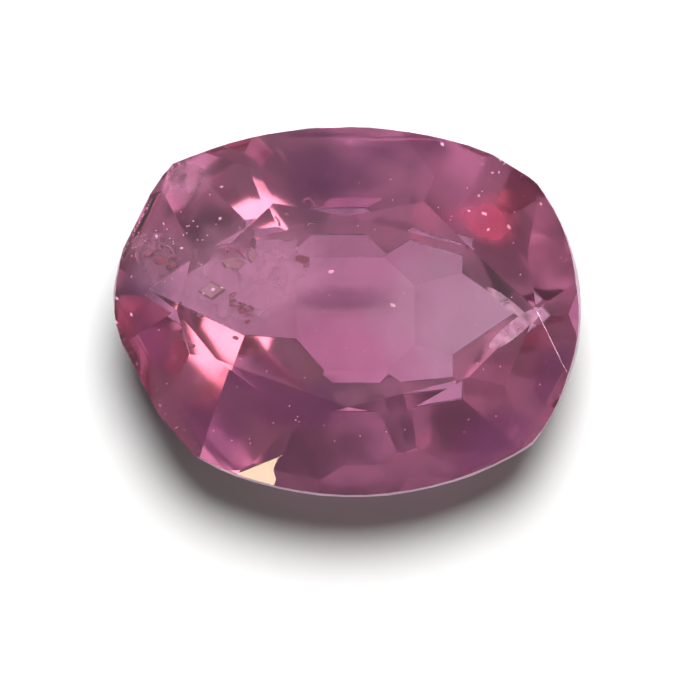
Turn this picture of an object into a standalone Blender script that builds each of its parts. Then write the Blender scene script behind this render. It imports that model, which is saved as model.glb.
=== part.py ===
"""A cushion-cut pink sapphire, standing table up on the flat culet of its underside.

The stone is ground the way a cutter does it. A rough block is brought to the plan of the
girdle, which is the stone's widest line, and then one flat facet after another is cut off it:
the table and crown above the girdle, and the pavilion below it, down to the culet.

While it is cut the girdle lies at z = 0, the table faces +Z and the stone's length runs along X.
Lengths are in millimetres and angles in degrees. An azimuth turns round Z from +X, and a
facet's angle is how far it is tipped from the girdle.
"""

from math import asin, atan, atan2, cos, degrees, radians, sin, tan

import bmesh
import bpy
from mathutils import Matrix, Vector

MM = 0.001
SNAP = 0.002 * MM
BLOCK_SIZE = (8.0, 7.0, 6.0)

# The girdle's plan: four shallow arcs that meet at soft corners, not quite alike.
CORNERS = ((2.66, 2.16), (-2.64, 2.22), (-2.85, -1.86), (2.78, -2.01))
BULGES = (0.59, 0.78, 0.86, 0.77)
FACES_PER_ARC = 18

PAVILION_DEPTH = 1.60
GIRDLE_THICKNESS = 0.10
CROWN_HEIGHT = 0.63
GIRDLE_SLOPE = 14.0

# Pavilion mains (azimuth, angle, distance from the axis at which the main meets the culet).
MAINS = (
    (0, 24.5, 1.00),
    (47, 27.5, 0.96),
    (90, 32, 0.80),
    (133, 27.5, 1.03),
    (180, 27.5, 0.78),
    (270, 32, 0.90),
    (313, 27.5, 1.05),
)

# Pavilion breaks (azimuth, angle, x, y): each meets the mains or culet at the point (x, y).
BREAKS = (
    (27, 39, 1.80, 0.50),
    (58, 41, 1.30, 0.95),
    (81, 37.5, 0.60, 0.86),
    (90, 43, 0.00, 1.14),
    (101, 39, -0.70, 1.00),
    (118, 38.2, -1.30, 1.06),
    (152, 39, -1.66, 0.80),
    (210, 40, -1.55, -0.37),
    (221, 36.3, -0.78, -0.42),
    (259, 39.5, -0.25, -1.07),
    (270, 38, 0.00, -1.08),
    (279, 37, 0.67, -0.99),
    (299, 38.5, 1.30, -1.02),
    (332, 39, 1.80, -0.50),
)

# Lower girdle facets: an angle, and the azimuths at which a facet touches the girdle.
LOWER_GIRDLE = (
    (49, (0, 180)),
    (48, (14, 166, 194, 346)),
    (46.5, (30, 150, 210, 330)),
    (45, (45, 62, 78, 90, 102, 118, 135, 225, 242, 258, 270, 282, 298, 315)),
)

# Table corners (x, y), each with the angle of the star facet on the edge to the next corner
# and the azimuths of the crown mains that meet in it.
TABLE = (
    ((2.80, 0.00), 17.0, (325, 354, 24)),
    ((1.82, 0.93), 11.5, (59,)),
    ((0.00, 1.40), 11.5, (90,)),
    ((-1.75, 1.00), 11.5, (119,)),
    ((-2.55, 0.00), 11.5, (156, 180, 204)),
    ((-1.96, -0.74), 11.5, (241,)),
    ((0.00, -1.44), 11.5, (270,)),
    ((1.79, -1.00), 17.0, (292,)),
)

# Upper girdle facets, in the same form as the lower ones.
UPPER_GIRDLE = (
    (36, (40, 140, 220, 320)),
    (30, (76, 104, 256, 284)),
)

PINK = (0.62, 0.20, 0.34, 1.0)


def clear_scene():
    for obj in list(bpy.data.objects):
        bpy.data.objects.remove(obj, do_unlink=True)


def arc_points(start, end, bulge):
    """Points from start up to end, along an arc that stands out from its chord by bulge."""
    start = Vector(start)
    end = Vector(end)
    chord = end - start
    radius = (chord.length**2 / 4 + bulge**2) / (2 * bulge)
    outward = Vector((chord.y, -chord.x)).normalized()
    centre = (start + end) / 2 - outward * (radius - bulge)
    first = atan2(start.y - centre.y, start.x - centre.x)
    sweep = 2 * asin(chord.length / 2 / radius)
    angles = [first + sweep * i / FACES_PER_ARC for i in range(FACES_PER_ARC)]
    return [centre + radius * Vector((cos(a), sin(a))) for a in angles]


def girdle_plan():
    plan = []
    for start, end, bulge in zip(CORNERS, CORNERS[1:] + CORNERS[:1], BULGES):
        plan += arc_points(start, end, bulge)
    return plan


def reach(plan, azimuth):
    """How far the plan reaches from the axis, measured along an azimuth."""
    along = Vector((cos(radians(azimuth)), sin(radians(azimuth))))
    return max(point.dot(along) for point in plan)


def crown_normal(azimuth, angle):
    """The outward direction of a facet that is tipped from the table by its angle."""
    level = sin(radians(angle))
    return Vector((level * cos(radians(azimuth)), level * sin(radians(azimuth)), cos(radians(angle))))


def pavilion_normal(azimuth, angle):
    normal = crown_normal(azimuth, angle)
    normal.z = -normal.z
    return normal


def cut(stone, point, normal):
    """Grinds away all that lies beyond a plane, and closes the stone with the new facet."""
    point = Vector(point) * MM
    everything = stone.verts[:] + stone.edges[:] + stone.faces[:]
    result = bmesh.ops.bisect_plane(
        stone, geom=everything, dist=SNAP, plane_co=point, plane_no=normal, clear_outer=True
    )
    rim = [item for item in result["geom_cut"] if isinstance(item, bmesh.types.BMEdge)]
    open_rim = [edge for edge in rim if edge.is_boundary]
    if open_rim:
        bmesh.ops.edgeloop_fill(stone, edges=open_rim)


def rough_block():
    """The block that the stone is cut from, a little larger than the finished stone."""
    stone = bmesh.new()
    bmesh.ops.create_cube(stone, size=1.0)
    bmesh.ops.scale(stone, vec=Vector(BLOCK_SIZE) * MM, verts=stone.verts)
    return stone


def cut_girdle(stone, plan):
    for start, end in zip(plan, plan[1:] + plan[:1]):
        azimuth = degrees(atan2(start.x - end.x, end.y - start.y))
        cut(stone, (start.x, start.y, 0.0), crown_normal(azimuth, 90 - GIRDLE_SLOPE))


def pavilion_height(x, y):
    """The height of the culet or of a pavilion main at a point of the plan."""
    height = -PAVILION_DEPTH
    for azimuth, angle, distance in MAINS:
        beyond = x * cos(radians(azimuth)) + y * sin(radians(azimuth)) - distance
        height = max(height, beyond * tan(radians(angle)) - PAVILION_DEPTH)
    return height


def girdle_facets(stone, plan, tier, height, facet_normal):
    for angle, azimuths in tier:
        for azimuth in azimuths:
            far = reach(plan, azimuth)
            point = (far * cos(radians(azimuth)), far * sin(radians(azimuth)), height)
            cut(stone, point, facet_normal(azimuth, angle))


def cut_pavilion(stone, plan):
    girdle_facets(stone, plan, LOWER_GIRDLE, 0.0, pavilion_normal)
    for azimuth, angle, distance in MAINS:
        edge = (distance * cos(radians(azimuth)), distance * sin(radians(azimuth)), -PAVILION_DEPTH)
        cut(stone, edge, pavilion_normal(azimuth, angle))
    for azimuth, angle, x, y in BREAKS:
        cut(stone, (x, y, pavilion_height(x, y)), pavilion_normal(azimuth, angle))
    cut(stone, (0.0, 0.0, -PAVILION_DEPTH), Vector((0, 0, -1)))


def cut_crown(stone, plan):
    table_height = GIRDLE_THICKNESS + CROWN_HEIGHT
    girdle_facets(stone, plan, UPPER_GIRDLE, GIRDLE_THICKNESS, crown_normal)
    for (x, y), _, azimuths in TABLE:
        for azimuth in azimuths:
            inner = x * cos(radians(azimuth)) + y * sin(radians(azimuth))
            angle = degrees(atan(CROWN_HEIGHT / (reach(plan, azimuth) - inner)))
            cut(stone, (x, y, table_height), crown_normal(azimuth, angle))
    for (start, star_angle, _), (end, _, _) in zip(TABLE, TABLE[1:] + TABLE[:1]):
        azimuth = degrees(atan2(start[0] - end[0], end[1] - start[1]))
        cut(stone, (start[0], start[1], table_height), crown_normal(azimuth, star_angle))
    cut(stone, (0.0, 0.0, table_height), Vector((0, 0, 1)))


def stand(stone):
    """Stands the stone with its culet on z = 0, and centres it over the origin."""
    low = Vector([min(vert.co[axis] for vert in stone.verts) for axis in range(3)])
    high = Vector([max(vert.co[axis] for vert in stone.verts) for axis in range(3)])
    middle = (low + high) / 2
    shift = Vector((-middle.x, -middle.y, -low.z))
    bmesh.ops.transform(stone, matrix=Matrix.Translation(shift), verts=stone.verts)


def sapphire_material():
    material = bpy.data.materials.new("pink_sapphire")
    material.use_nodes = True
    shader = material.node_tree.nodes["Principled BSDF"]
    shader.inputs["Base Color"].default_value = PINK
    shader.inputs["Metallic"].default_value = 0.0
    shader.inputs["Roughness"].default_value = 0.02
    shader.inputs["IOR"].default_value = 1.77
    shader.inputs["Transmission Weight"].default_value = 1.0
    return material


def make_sapphire():
    plan = girdle_plan()
    stone = rough_block()
    cut_girdle(stone, plan)
    cut_pavilion(stone, plan)
    cut_crown(stone, plan)
    stand(stone)
    mesh = bpy.data.meshes.new("sapphire")
    stone.to_mesh(mesh)
    stone.free()
    mesh.materials.append(sapphire_material())
    return bpy.data.objects.new("sapphire", mesh)


clear_scene()
collection = bpy.data.collections.new("cut_pink_sapphire")
bpy.context.scene.collection.children.link(collection)
collection.objects.link(make_sapphire())
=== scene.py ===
from math import cos, pi, radians, sin, tan
from random import Random

import bmesh
import bpy
from mathutils import Euler, Matrix, Vector


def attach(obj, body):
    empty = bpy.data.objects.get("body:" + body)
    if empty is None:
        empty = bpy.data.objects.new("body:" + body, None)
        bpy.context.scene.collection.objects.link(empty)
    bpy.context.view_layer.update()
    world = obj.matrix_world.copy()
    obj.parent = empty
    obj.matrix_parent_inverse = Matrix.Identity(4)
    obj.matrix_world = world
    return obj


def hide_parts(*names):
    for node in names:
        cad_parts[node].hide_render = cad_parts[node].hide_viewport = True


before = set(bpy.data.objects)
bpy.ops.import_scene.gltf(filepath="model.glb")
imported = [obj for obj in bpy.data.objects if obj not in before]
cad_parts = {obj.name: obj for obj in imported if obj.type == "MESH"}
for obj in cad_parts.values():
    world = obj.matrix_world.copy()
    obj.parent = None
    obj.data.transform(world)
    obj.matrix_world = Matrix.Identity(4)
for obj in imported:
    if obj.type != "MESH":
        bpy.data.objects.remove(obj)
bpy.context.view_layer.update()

# The sapphire: one crystal of transparent pink corundum, ground and polished into flat facets by
# hand. Its facet edges are very slightly worn, and the thin girdle round it is left as ground.
MM = 0.001
WELD = 0.001 * MM
SLIVER = 0.045 * MM
SAME_FACET = radians(0.8)
SHARP = radians(2)
WORN_EDGE = 0.004 * MM
GIRDLE_LEAN = (0.1, 0.35)
POLISHED, GROUND = 0, 1
CORUNDUM_IOR = 1.77
COLOUR_DEPTH = 159.0
COLOUR_LUMP = 1.6 * MM
RAGGED_LUMP = 0.5 * MM
UNDERSIDE_ENDS = (1.58 * MM, 1.66 * MM)
UNDERSIDE_ROUGHNESS = 0.06
POLISHING_WAVE = 0.9 * MM
POLISHING_DEPTH = 0.004 * MM
PAINTED_LIGHT_SIDE = (0.8 * MM, 2.4 * MM)
GRINDING_MARK = 0.12 * MM


class Value:
    """A shader output that does sums: each operator adds one Math node."""

    def __init__(self, tree, socket):
        self.tree = tree
        self.socket = socket

    def math(self, operation, *others):
        terms = dict(enumerate((self, *others)))
        return shader_node(self.tree, "ShaderNodeMath", terms, operation=operation)

    def __add__(self, other):
        return self.math("ADD", other)

    def __radd__(self, other):
        return self.math("ADD", other)

    def __sub__(self, other):
        return self.math("SUBTRACT", other)

    def __rsub__(self, other):
        return self.math("MULTIPLY", -1.0).math("ADD", other)

    def __mul__(self, other):
        return self.math("MULTIPLY", other)

    def __rmul__(self, other):
        return self.math("MULTIPLY", other)

    def __truediv__(self, other):
        return self.math("DIVIDE", other)

    def __pow__(self, other):
        return self.math("POWER", other)

    def step(self, low, high):
        """0 below low and 1 above high, with a smooth change between them."""
        span = {"Value": self, "From Min": low, "From Max": high}
        return shader_node(
            self.tree, "ShaderNodeMapRange", span, "Result", interpolation_type="SMOOTHSTEP"
        )


def feed(tree, slot, item):
    """Links a Value into a socket, or sets the socket to a number or a colour."""
    if isinstance(item, Value):
        tree.links.new(item.socket, slot)
    else:
        slot.default_value = item


def shader_node(tree, kind, sockets, output=0, **settings):
    """Adds a node, makes its settings, feeds its sockets, and gives one of its outputs."""
    node = tree.nodes.new(kind)
    for name, setting in settings.items():
        setattr(node, name, setting)
    for name, item in sockets.items():
        feed(tree, node.inputs[name], item)
    return Value(tree, node.outputs[output])


class Finish:
    """A material being put together, round one Principled shader."""

    def __init__(self, name, **plain):
        self.material = bpy.data.materials.new(name)
        self.material.use_nodes = True
        self.tree = self.material.node_tree
        self.shader = self.tree.nodes["Principled BSDF"]
        for socket, number in plain.items():
            self.set(socket.replace("_", " "), number)

    def set(self, socket, item):
        feed(self.tree, self.shader.inputs[socket], item)

    def add(self, kind, sockets, output=0, **settings):
        return shader_node(self.tree, kind, sockets, output, **settings)

    def place(self):
        return self.add("ShaderNodeTexCoord", {}, "Object")

    def along(self, axis):
        return self.add("ShaderNodeSeparateXYZ", {"Vector": self.place()}, axis)

    def noise(self, size, detail=2.0, roughness=0.5, warp=0.0):
        """Cloudy noise from 0 to 1, with lumps of about this size in metres."""
        sockets = {
            "Vector": self.place(), "Scale": 1.0 / size,
            "Detail": detail, "Roughness": roughness, "Distortion": warp,
        }
        return self.add("ShaderNodeTexNoise", sockets, "Fac")

    def spot(self, x, y, reach_x, reach_y, ragged=0.25):
        """1 at the point x, y of the plan, in millimetres, fading to 0 at its reach."""
        across = (self.along("X") - x * MM) / (reach_x * MM)
        up = (self.along("Y") - y * MM) / (reach_y * MM)
        off = (across * across + up * up) ** 0.5
        uneven = (self.noise(RAGGED_LUMP) - 0.5) * (4 * ragged)
        return 1.0 - (off + uneven).step(0.3, 1.0)

    def spots(self, *places):
        """1 inside any of several spots."""
        clear = 1.0
        for place in places:
            clear = (1.0 - self.spot(*place)) * clear
        return 1.0 - clear

    def blend(self, share, first, second):
        """A colour: first where share is 0, second where it is 1."""
        sockets = {"Factor": share, 6: first, 7: second}
        return self.add("ShaderNodeMix", sockets, 2, data_type="RGBA")

    def bump(self, height, distance):
        sockets = {"Height": height, "Distance": distance}
        self.set("Normal", self.add("ShaderNodeBump", sockets, "Normal"))


def tint(red, green, blue):
    return (red, green, blue, 1.0)


stone = bmesh.new()
stone.from_mesh(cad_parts["sapphire"].data)
bmesh.ops.remove_doubles(stone, verts=stone.verts, dist=WELD)
bmesh.ops.dissolve_limit(
    stone, angle_limit=SAME_FACET, verts=stone.verts[:], edges=stone.edges[:]
)
bmesh.ops.dissolve_degenerate(stone, dist=SLIVER, edges=stone.edges[:])
blank = stone.copy()
for face in stone.faces:
    on_girdle = GIRDLE_LEAN[0] < face.normal.z < GIRDLE_LEAN[1]
    face.material_index = GROUND if on_girdle else POLISHED
edges = [edge for edge in stone.edges if edge.calc_face_angle() > SHARP]
bmesh.ops.bevel(
    stone, geom=edges, offset=WORN_EDGE, offset_type="OFFSET", segments=2, profile=0.5,
    affect="EDGES", clamp_overlap=False, material=-1,
)
stone_mesh = bpy.data.meshes.new("cut_sapphire")
stone.to_mesh(stone_mesh)
stone.free()
cut_sapphire = bpy.data.objects.new("cut_sapphire", stone_mesh)
bpy.context.scene.collection.objects.link(cut_sapphire)

gem = Finish("polished_sapphire", IOR=CORUNDUM_IOR, Transmission_Weight=1.0)
colour = gem.blend(gem.noise(COLOUR_LUMP, 1.0), tint(0.96, 0.47, 0.76), tint(0.98, 0.53, 0.82))
# The pale right half of the window, the redder right end and the violet top.
for place, zone in (
    ((1.8, 0.05, 1.8, 1.2), tint(0.98, 0.78, 0.95)),
    ((2.9, 1.4, 1.3, 1.4), tint(0.99, 0.46, 0.66)),
    ((-0.3, 1.9, 1.9, 0.9), tint(0.80, 0.42, 0.74)),
):
    colour = gem.blend(gem.spot(*place), colour, zone)
gem.set("Base Color", colour)
underside = 1.0 - gem.along("Z").step(*UNDERSIDE_ENDS)
gem.set("Roughness", underside * UNDERSIDE_ROUGHNESS)
gem.bump(gem.noise(POLISHING_WAVE, 1.0), POLISHING_DEPTH)
absorption = gem.add(
    "ShaderNodeVolumeAbsorption", {"Color": tint(0.648, 0.0, 0.245), "Density": COLOUR_DEPTH}
)
feed(gem.tree, gem.tree.nodes["Material Output"].inputs["Volume"], absorption)
stone_mesh.materials.append(gem.material)

ground = Finish("ground_girdle", Roughness=0.45, IOR=CORUNDUM_IOR, Transmission_Weight=0.75)
# Painted light and shade: the girdle's colour runs from dark at the front to pale at the back
# (+Y), where the lamps catch it, with real grinding marks mixed in as a little noise.
painted_light_and_grinding = ground.along("Y").step(*PAINTED_LIGHT_SIDE) * 0.8 + ground.noise(GRINDING_MARK, 3.0) * 0.2
ground.set("Base Color", ground.blend(painted_light_and_grinding, tint(0.34, 0.20, 0.27), tint(0.95, 0.86, 0.90)))
stone_mesh.materials.append(ground.material)

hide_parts("sapphire")
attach(cut_sapphire, "root")

# The silk: needles of rutile, each too fine to see, in a milky sheet low in the stone. It grew
# with the crystal, follows the culet and the mains round it, and is pinker in one growth band.
SILK_GAP = 0.02 * MM
SHALLOW = 0.84


def inside(name, mesh, finish, smooth=True):
    """Makes a finished piece of the stone's insides from a mesh."""
    data = bpy.data.meshes.new(name)
    for face in mesh.faces:
        face.smooth = smooth
    mesh.to_mesh(data)
    mesh.free()
    data.materials.append(finish.material)
    thing = bpy.data.objects.new(name, data)
    bpy.context.scene.collection.objects.link(thing)
    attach(thing, "root")


def haze(name):
    """A dull finish without gloss, for what only clouds or tints the stone."""
    return Finish(name, Roughness=0.9, Specular_IOR_Level=0.0)


def over_culet(gap):
    """The culet and the mains round it, lifted off the stone's skin by gap."""
    mesh = blank.copy()
    others = [face for face in mesh.faces if face.normal.z > -SHALLOW]
    bmesh.ops.delete(mesh, geom=others, context="FACES")
    bmesh.ops.translate(mesh, vec=(0, 0, gap), verts=mesh.verts)
    return mesh


silk = haze("silk_haze")
silk.set("Base Color", silk.blend(
    silk.spot(-0.1, -0.65, 1.3, 0.9), tint(0.86, 0.91, 0.95), tint(0.84, 0.76, 0.86)
))
silk.set("Alpha", 0.58 + silk.noise(0.9 * MM) * 0.25)
inside("silk", over_culet(SILK_GAP), silk, smooth=False)


# The dark band: a thin dark sheet low in the stone over the culet. It is painted shade for the
# shadowed floor seen straight down through the culet, and shows as a soft violet bar across the
# middle of the window.
def leaf(mesh, x, y, z, length, width, turn=0.0):
    """A level oval sheet; place and size are in millimetres and turn in degrees."""
    placing = Matrix.Translation(Vector((x, y, z)) * MM) @ Matrix.Rotation(radians(turn), 4, "Z")
    stretch = Matrix.Diagonal((length * MM, width * MM, MM, 1))
    bmesh.ops.create_circle(
        mesh, cap_ends=True, segments=48, radius=0.5, matrix=placing @ stretch
    )


# Painted shade: a half-clear dark sheet that darkens the middle of the window.
shade_band = haze("painted_shade_band")
shade_band.set("Base Color", tint(0.30, 0.16, 0.30))
shade_band.set("Alpha", shade_band.spot(-0.05, 0.22, 1.05, 0.24, 0.12) * 0.45)
shade_band_mesh = bmesh.new()
leaf(shade_band_mesh, 0.0, 0.22, 0.30, 2.2, 0.6)
inside("painted_shade_sheet", shade_band_mesh, shade_band)

# The violet zones, under the crown: dark violet patches in one level layer of the stone. Those at
# the top are the stone's violet colour zoning, where the crystal holds more iron. Those at the
# ends and low down are painted shade, darkening facets that would otherwise show the bright
# floor. They fade out sideways into the pink round them.
VIOLET_AND_SHADE_HEIGHT = 1.50
SKIN_GAP = (0.988, 0.986, 1)


def layer(height):
    """A level slice right through the stone, in from its skin by a hair."""
    mesh = blank.copy()
    everything = mesh.verts[:] + mesh.edges[:] + mesh.faces[:]
    cut = bmesh.ops.bisect_plane(
        mesh, geom=everything, dist=0.1 * WELD, plane_co=(0, 0, height * MM),
        plane_no=(0, 0, 1), clear_outer=True, clear_inner=True,
    )["geom_cut"]
    rim = [item for item in cut if isinstance(item, bmesh.types.BMEdge)]
    bmesh.ops.edgeloop_fill(mesh, edges=rim)
    bmesh.ops.scale(mesh, vec=SKIN_GAP, verts=mesh.verts)
    return mesh


violet_and_shade = haze("violet_and_shade_zones")
# Dark violet: the stone's own zoning at the top, and painted shade at the ends and lower corners.
violet_and_shade.set("Base Color", tint(0.15, 0.05, 0.15))
violet_and_shade_share = violet_and_shade.spots(
    (-0.3, 1.95, 0.9, 0.7), (0.7, 2.45, 1.1, 0.5), (-2.2, -1.8, 1.0, 0.8),
    (-0.9, -1.3, 1.2, 0.5), (-1.3, -0.9, 0.6, 0.3), (-2.95, -0.5, 0.65, 0.9),
    (-2.85, 0.3, 0.6, 0.45), (2.3, -1.9, 1.1, 0.8), (3.0, -1.0, 0.5, 0.8),
)
violet_and_shade.set("Alpha", violet_and_shade_share * 0.6)
inside("violet_and_shade_zones", layer(VIOLET_AND_SHADE_HEIGHT), violet_and_shade)

# The cloudy zones, a little higher: whitish wisps of fine dust that the growing crystal took in,
# thickest over the left end of the window.
CLOUDY_HEIGHT = 1.72
WISP = 0.35 * MM

cloudy = haze("cloudy_zones")
cloudy.set("Base Color", tint(0.72, 0.66, 0.66))
cloudy_share = cloudy.spots(
    (-1.3, 0.62, 1.5, 0.8), (-1.7, 0.15, 0.8, 0.5), (-2.7, 0.75, 0.7, 0.7), (-2.4, 2.0, 0.5, 0.6)
)
wisps = cloudy.noise(WISP, 4.0, 0.6, 0.8).step(0.2, 0.8)
cloudy.set("Alpha", cloudy_share * (0.26 + wisps * 0.22))
inside("cloudy_zones", layer(CLOUDY_HEIGHT), cloudy)

# The rosy crack: a flat crack close under the crown at the upper right. Its pinkish red glow is
# painted reflection, a red flash of light off the crack painted into its colour.
red_flash = Finish("crack_with_painted_flash", Roughness=0.5, Specular_IOR_Level=0.3)
# Painted reflection: the red is a flash of light off the crack, painted in as colour.
red_flash.set("Base Color", red_flash.blend(
    red_flash.noise(0.20 * MM), tint(0.95, 0.14, 0.27), tint(1.0, 0.30, 0.40)
))
red_flash_share = red_flash.spots((2.02, 1.30, 0.66, 0.42, 0.3), (2.06, 1.28, 0.4, 0.3, 0.4))
red_flash.set("Alpha", red_flash_share * 0.45)
crack = bmesh.new()
leaf(crack, 2.02, 1.30, 1.80, 1.6, 1.0)
inside("crack_with_painted_flash", crack, red_flash)

# The pale strips: two narrow flat cracks under the table's right-hand corner. Their gloss gives
# some real reflection, and their pale, silvery colour is painted sheen for the light off the air
# film in them.
strip_sheen = Finish("strips_with_painted_sheen", Roughness=0.25, Specular_IOR_Level=0.5)
# Painted sheen: the pale pinkish white stands in for light reflected off the strips.
strip_sheen.set("Base Color", strip_sheen.blend(
    strip_sheen.noise(0.10 * MM, 3.0), tint(0.76, 0.54, 0.64), tint(0.88, 0.74, 0.80)
))
strip_sheen.set("Alpha", strip_sheen.noise(0.15 * MM, 3.0).step(0.1, 0.7) * 0.7)
strips = bmesh.new()
leaf(strips, 2.47, -0.25, 2.05, 0.90, 0.19, 39)
leaf(strips, 2.40, 0.12, 2.05, 0.80, 0.13, -38)
inside("strips_with_painted_sheen", strips, strip_sheen, smooth=False)

# The dark crystals: stubs and rounded grains of mica and rutile that the sapphire grew round. A
# trail of small ones crosses the left end of the window.
luck = Random(7)
TRAIL_GRAINS = 26


def turned(x, y, z, size, lean=0.5):
    """Places a small shape at x, y, z in millimetres, turned at random and stretched by size."""
    turn = Euler([luck.uniform(-lean, lean) for _ in "xyz"]).to_matrix().to_4x4()
    stretch = Matrix.Diagonal((*size, 1))
    return Matrix.Translation(Vector((x, y, z)) * MM) @ turn @ Matrix.Scale(MM, 4) @ stretch


def stub(mesh, x, y, z, size, lean=0.5, sides=6):
    """A stubby crystal with one end a little narrower than the other."""
    bmesh.ops.create_cone(
        mesh, cap_ends=True, segments=sides, radius1=0.5, radius2=0.38, depth=1.0,
        matrix=turned(x, y, z, size, lean),
    )


def pebble(mesh, x, y, z, size):
    """A rounded grain with a few flats."""
    made = bmesh.ops.create_icosphere(mesh, subdivisions=2, radius=0.5)["verts"]
    for vert in made:
        vert.co *= luck.uniform(0.8, 1.15)
    bmesh.ops.transform(mesh, matrix=turned(x, y, z, size), verts=made)


dark = Finish("dark_crystals", Roughness=0.35, Specular_IOR_Level=0.3)
dark.set("Base Color", dark.blend(
    dark.noise(0.05 * MM), tint(0.24, 0.11, 0.11), tint(0.42, 0.24, 0.26)
))
grains = bmesh.new()
stub(grains, -0.67, 0.79, 1.7, (0.17, 0.13, 0.25))
pebble(grains, -0.60, 0.70, 1.68, (0.12, 0.08, 0.08))
pebble(grains, -2.92, 0.86, 1.75, (0.22, 0.12, 0.10))
pebble(grains, -2.73, 0.74, 1.72, (0.26, 0.20, 0.12))
pebble(grains, -2.53, 0.66, 1.72, (0.14, 0.12, 0.10))
for x, y in ((-2.20, -0.06), (-2.28, -0.49), (-1.66, -0.39)):
    pebble(grains, x, y, 1.9, (0.10, 0.06, 0.06))
for grain in range(TRAIL_GRAINS):
    along = grain / (TRAIL_GRAINS - 1)
    x = -1.72 + 0.3 * along + luck.gauss(0.0, 0.05)
    y = 0.18 - 0.26 * along + luck.gauss(0.0, 0.04)
    length = luck.uniform(0.04, 0.11)
    pebble(grains, x, y, 1.8, (length, length * 0.6, length * 0.4))
inside("dark_crystals", grains, dark)

# The grey-green crystals: thin tablets, probably of mica or apatite, lying almost level under the
# left part of the table.
green = Finish("grey_green_crystals", Roughness=0.3, Specular_IOR_Level=0.4)
green.set("Base Color", green.blend(
    green.noise(0.06 * MM), tint(0.30, 0.27, 0.22), tint(0.52, 0.47, 0.42)
))
tablets = bmesh.new()
stub(tablets, -2.02, 0.32, 2.16, (0.44, 0.30, 0.08), 0.12, 4)
stub(tablets, -1.70, 0.72, 1.95, (0.40, 0.18, 0.08), 0.2, 5)
stub(tablets, -1.42, 0.84, 1.9, (0.15, 0.24, 0.08), 0.2)
inside("grey_green_crystals", tablets, green, smooth=False)

# The pale crystals: short clear prisms, a cloud of pinpoints by the healed crack, and finer
# pinpoints all through the stone. Their glint is painted: they glow faintly by emission, though
# no lamp, in place of reflected light.
CLOUD_PINPOINTS = 40
LOOSE_PINPOINTS = 90

# Painted glint: a faint pinkish-white emission stands in for glints of reflected light.
glint_glow = Finish("pale_crystals_painted_glint", Roughness=0.15, Specular_IOR_Level=0.8, Emission_Strength=0.4)
glint_glow.set("Base Color", glint_glow.blend(
    glint_glow.noise(0.03 * MM), tint(0.90, 0.88, 0.86), tint(0.97, 0.95, 0.95)
))
glint_glow.set("Emission Color", glint_glow.blend(
    glint_glow.noise(0.05 * MM), tint(1.0, 0.70, 0.80), tint(1.0, 0.96, 0.96)
))
glints = bmesh.new()
for x, y, z, length in (
    (0.68, 0.10, 1.9, 0.10), (-0.24, 0.60, 1.9, 0.10), (-2.14, 0.27, 2.24, 0.06),
    (-2.00, 0.33, 2.24, 0.10), (-1.86, 0.36, 2.24, 0.07), (-2.40, 0.92, 1.8, 0.06),
    (-1.86, 1.34, 1.8, 0.09), (-1.86, 1.84, 1.8, 0.07), (-2.82, 1.12, 1.8, 0.08),
    (-2.70, 1.30, 1.75, 0.05), (1.95, 1.70, 1.8, 0.08), (1.79, 1.46, 1.8, 0.08),
    (2.03, 1.42, 1.8, 0.11), (2.08, 1.18, 1.8, 0.07), (2.38, 1.22, 1.75, 0.10),
    (2.16, 2.05, 1.7, 0.05), (2.26, 2.06, 1.7, 0.05), (1.42, 2.50, 1.7, 0.10),
    (2.87, 1.60, 1.7, 0.07), (-3.42, 0.20, 1.66, 0.08), (-3.18, -0.04, 1.7, 0.07),
):
    stub(glints, x, y, z, (length, length * 0.45, length * 0.4), 1.2, 5)
for _ in range(CLOUD_PINPOINTS):
    x, y = luck.gauss(-2.7, 0.35), luck.gauss(0.85, 0.28)
    if x > -3.2 and y > 0.3:
        pebble(glints, x, y, 1.7, (0.022, 0.018, 0.018))
for _ in range(LOOSE_PINPOINTS):
    x, y = luck.uniform(-2.9, 2.9), luck.uniform(-2.0, 2.0)
    pebble(glints, x, y, luck.uniform(1.3, 1.65), (0.014, 0.014, 0.014))
inside("pale_crystals_painted_glint", glints, glint_glow)

# The healed tubes: fine curved channels left where a crack at the stone's left end has grown
# together again, and a few more near the top of the window.
TUBE_HEIGHT = 1.72
TUBE_BORE = 0.02


def tube(mesh, x, y, z, bend, sweep):
    """A fine tube bent into part of a ring of radius bend."""
    ring = bmesh.ops.create_circle(
        mesh, segments=8, radius=TUBE_BORE / bend, cap_ends=True,
        matrix=Matrix.Translation((1, 0, 0)) @ Matrix.Rotation(pi / 2, 4, "X"),
    )["verts"]
    around = {edge for vert in ring for edge in vert.link_edges}
    caps = {face for vert in ring for face in vert.link_faces}
    before = set(mesh.verts) - set(ring)
    bmesh.ops.spin(
        mesh, geom=[*ring, *around, *caps], cent=(0, 0, 0), axis=(0, 0, 1),
        angle=sweep, steps=18,
    )
    made = [vert for vert in mesh.verts if vert not in before]
    bmesh.ops.transform(mesh, matrix=turned(x, y, z, (bend, bend, bend), 0.6), verts=made)


hollow = Finish("healed_tubes", Roughness=0.3, Specular_IOR_Level=0.5)
hollow.set("Base Color", hollow.blend(
    hollow.noise(0.05 * MM), tint(0.40, 0.20, 0.26), tint(0.62, 0.40, 0.46)
))
hollow.set("Alpha", 0.35 + hollow.noise(0.12 * MM).step(0.3, 0.7) * 0.4)
tubes = bmesh.new()
for x, y, bend, sweep in (
    (-2.92, 0.84, 0.20, 3.6), (-2.72, 0.74, 0.24, 4.4), (-2.55, 0.64, 0.17, 3.0),
    (-3.05, 0.98, 0.16, 2.6), (-2.80, 1.02, 0.13, 5.0), (-0.58, 1.52, 0.08, 3.3),
    (-0.95, 1.33, 0.10, 1.4), (-1.12, 1.26, 0.14, 1.2), (-1.75, 0.70, 0.25, 2.0),
):
    tube(tubes, x, y, TUBE_HEIGHT, bend, sweep)
inside("healed_tubes", tubes, hollow)

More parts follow.
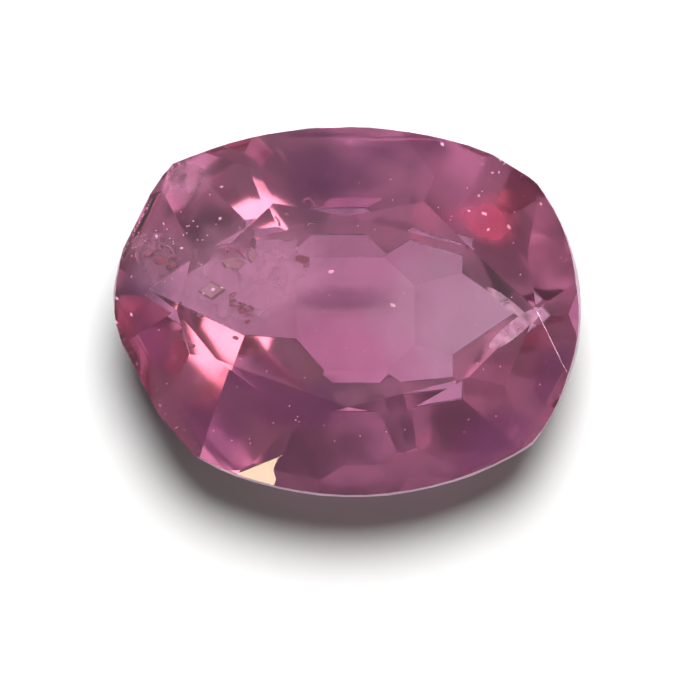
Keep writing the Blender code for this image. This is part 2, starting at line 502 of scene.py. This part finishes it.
# The white sheet that the stone stands on, a hair below the culet so that air parts them.
FLOOR_SIZE = 0.5
AIR_GAP = 0.02 * MM

floor_mesh = bmesh.new()
bmesh.ops.create_grid(floor_mesh, x_segments=1, y_segments=1, size=FLOOR_SIZE / 2)
bmesh.ops.translate(floor_mesh, vec=(0, 0, -AIR_GAP), verts=floor_mesh.verts)
floor_data = bpy.data.meshes.new("floor")
floor_mesh.to_mesh(floor_data)
floor_mesh.free()
floor = bpy.data.objects.new("floor", floor_data)
bpy.context.scene.collection.objects.link(floor)
paper = Finish("white_sheet", Roughness=0.9, Specular_IOR_Level=0.1)
paper.set("Base Color", tint(0.15, 0.15, 0.15))
floor_data.materials.append(paper.material)

# The lamps: five round ones, each with one job and hidden from the rays that it would spoil. The
# back lamp makes the shadow, the top lamp shines through the window, the side lamp flashes back
# at the left end, and the cards gleam on one crown facet and one worn edge.
LAMP_DISTANCE = 0.3


def lamp(name, azimuth, elevation, spread, brightness, colour=(1, 1, 1), hidden_from=()):
    """A round lamp seen from the stone as a disc of this angular radius and radiance."""
    a, e = radians(azimuth), radians(elevation)
    aim = Vector((cos(a) * cos(e), sin(a) * cos(e), sin(e)))
    light = bpy.data.lights.new(name, "AREA")
    light.shape = "DISK"
    light.size = 2 * LAMP_DISTANCE * tan(radians(spread))
    light.energy = brightness * pi * pi * (light.size / 2) ** 2
    light.color = colour
    thing = bpy.data.objects.new(name, light)
    bpy.context.scene.collection.objects.link(thing)
    thing.location = aim * LAMP_DISTANCE
    thing.rotation_euler = aim.to_track_quat("Z", "Y").to_euler()
    for rays in hidden_from:
        setattr(thing, "visible_" + rays, False)


lamp("back_lamp", 83, 61.5, 14.0, 130.0, hidden_from=("glossy", "transmission"))
lamp("top_lamp", 98, 61, 5.5, 340.0, hidden_from=("glossy", "diffuse"))
lamp("side_lamp", -22, 35, 18.3, 3.9, (1.0, 0.95, 0.66), ("glossy",))
lamp("warm_card", 251.6, 31, 4.0, 10.0, (1.0, 0.84, 0.52), ("transmission", "diffuse"))
lamp("edge_card", 348.5, 12.6, 3.5, 22.0, hidden_from=("transmission", "diffuse"))

# The room: even and white, with a broad soft window on the upper left that has one brighter pane,
# and a faint glow overhead.
ROOM_LIGHT = 0.27

room = bpy.data.worlds.new("room")
bpy.context.scene.world = room
room.use_nodes = True
tree = room.node_tree
direction = shader_node(tree, "ShaderNodeTexCoord", {}, "Generated")


def towards(*aim):
    """1 where the room is seen straight along aim, and less off to its sides."""
    pair = {0: direction, 1: aim}
    return shader_node(tree, "ShaderNodeVectorMath", pair, "Value", operation="DOT_PRODUCT")


window = towards(-0.53, 0.37, 0.77).step(0.55, 1.0) * 0.22
pane = towards(-0.42, 0.41, 0.81).step(0.96, 1.0) * 0.30
overhead = towards(0.07, -0.12, 0.99).step(0.97, 1.0) * 0.15
background = tree.nodes["Background"]
feed(tree, background.inputs["Color"], tint(1, 1, 1))
feed(tree, background.inputs["Strength"], window + pane + overhead + ROOM_LIGHT)

# The camera: straight above the table with a long lens. The stone lies a little left of the
# picture's middle and above it.
PIXEL = 0.015 * MM
CAMERA_HEIGHT = 101.6 * MM
BOUNCES_IN_STONE = 24
BOUNCES_OFF_STONE = 12

camera = bpy.data.cameras.new("camera")
camera.lens = 343
camera.sensor_width = 36
camera.clip_start = MM
viewpoint = bpy.data.objects.new("camera", camera)
viewpoint.location = (3 * PIXEL, -38 * PIXEL, CAMERA_HEIGHT)
bpy.context.scene.collection.objects.link(viewpoint)
bpy.context.scene.camera = viewpoint
scene = bpy.context.scene
scene.view_settings.view_transform = "Standard"
scene.cycles.max_bounces = BOUNCES_IN_STONE
scene.cycles.transmission_bounces = BOUNCES_IN_STONE
scene.cycles.glossy_bounces = BOUNCES_OFF_STONE
scene.cycles.transparent_max_bounces = BOUNCES_IN_STONE
